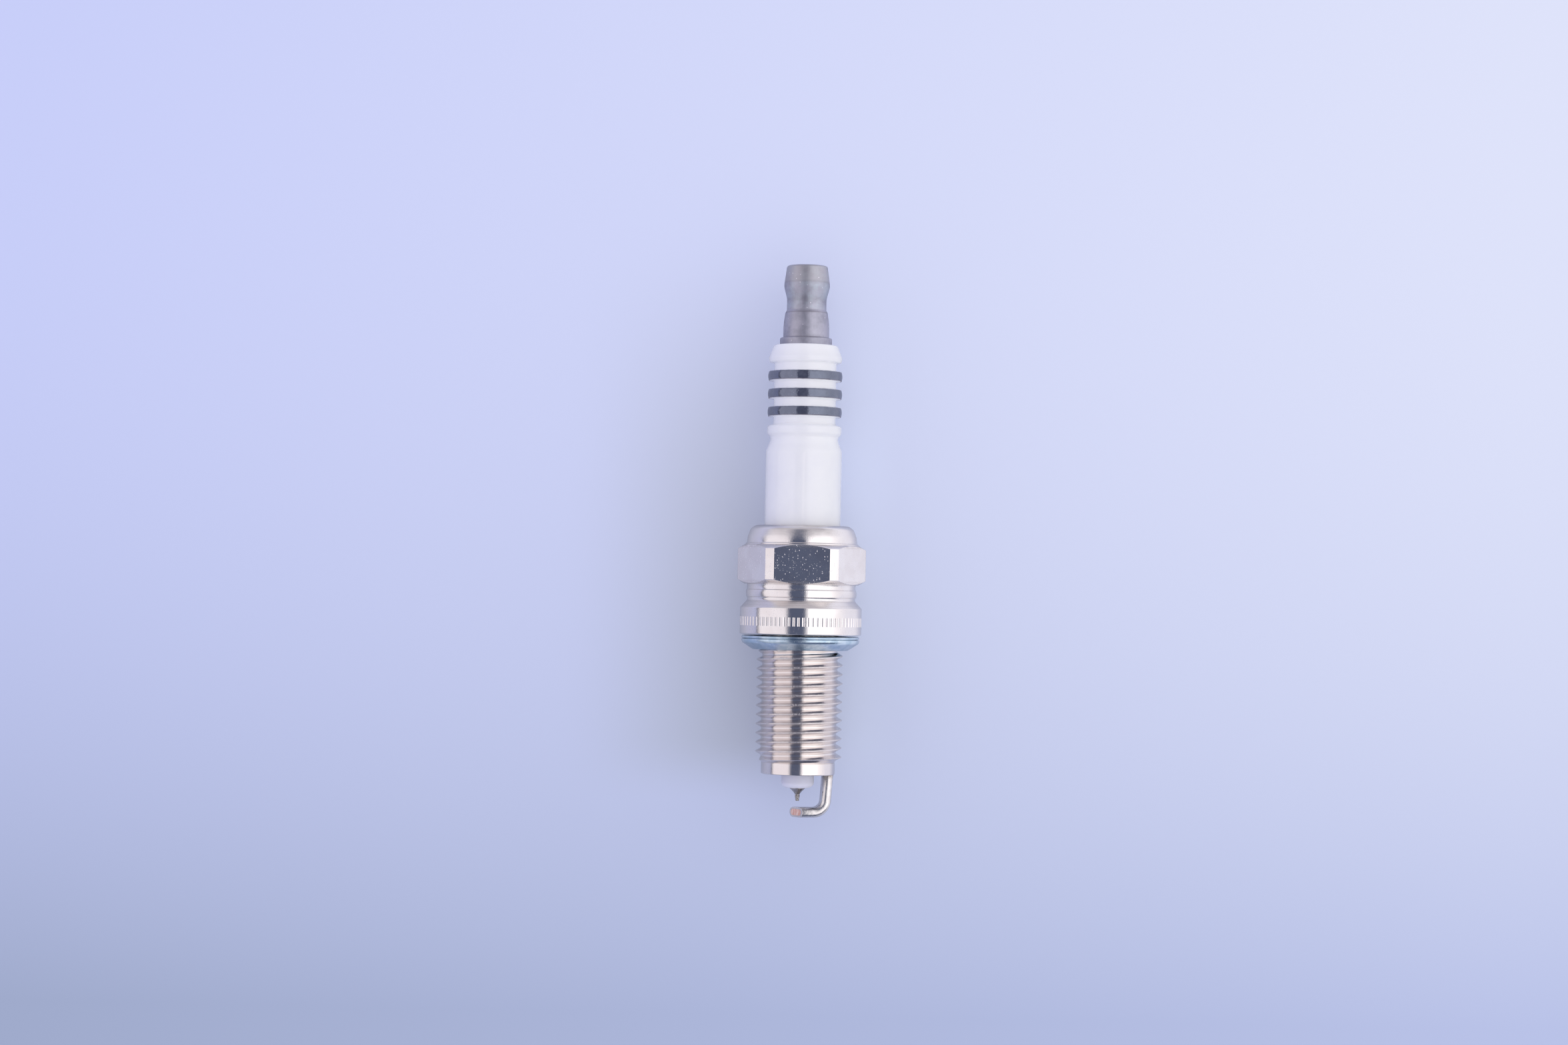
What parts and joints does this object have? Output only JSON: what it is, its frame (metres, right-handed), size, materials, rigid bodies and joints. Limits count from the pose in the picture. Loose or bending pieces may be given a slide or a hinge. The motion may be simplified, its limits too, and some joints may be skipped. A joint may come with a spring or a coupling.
{
  "type": "spark plug",
  "caption": "Resistor spark plug with a ribbed ceramic insulator, hexagon shell, long-reach thread, captive folded gasket and a fine iridium tip under a bent ground strap.",
  "frame": {"origin": "on the plug's axis at the underside of the gasket, where the plug seats on the engine", "axes": "+Z along the axis towards the terminal; +X near the leg of the ground strap; a hexagon flat faces -Y"},
  "size_m": [0.0175, 0.0166, 0.0753],
  "materials": {
    "terminal_nickel": "dull nickel plating on cold-headed steel",
    "white_alumina": "clear glaze on white alumina",
    "black_glaze": "black fired glaze, glossy, with ragged edges",
    "seal_glass": "fused copper-glass, matt",
    "resistor_body": "fused carbon-glass, matt",
    "electrode_nickel": "drawn nickel alloy",
    "copper": "sheared copper",
    "weld_alloy": "rippled laser weld",
    "iridium": "ground iridium wire",
    "shell_nickel": "bright nickel plating on turned and rolled steel",
    "steel_wire": "bare drawn steel",
    "talc": "pressed powder",
    "blue_zinc": "clear blue zinc plating on folded sheet",
    "strap_nickel": "drawn nickel alloy strap, satin"
  },
  "bodies": {
    "plug": {"terminal_stud": "terminal_nickel", "insulator": "white_alumina", "glaze_ring_upper": "black_glaze", "glaze_ring_middle": "black_glaze", "glaze_ring_lower": "black_glaze", "upper_glass_seal": "seal_glass", "resistor": "resistor_body", "lower_glass_seal": "seal_glass", "centre_electrode": "electrode_nickel", "electrode_copper_core": "copper", "tip_weld": "weld_alloy", "iridium_tip": "iridium", "shell": "shell_nickel", "upper_packing_ring": "steel_wire", "talc_packing": "talc", "lower_packing_ring": "steel_wire", "seat_washer": "steel_wire", "ground_electrode": "strap_nickel", "ground_copper_core": "copper"},
    "gasket_body": {"gasket": "blue_zinc"}
  },
  "joints": [
    {"name": "gasket_spin", "type": "hinge", "parent": "plug", "child": "gasket_body", "pos_m": [0, 0, 0.001], "axis": [0, 0, 1], "continuous": true}
  ]
}
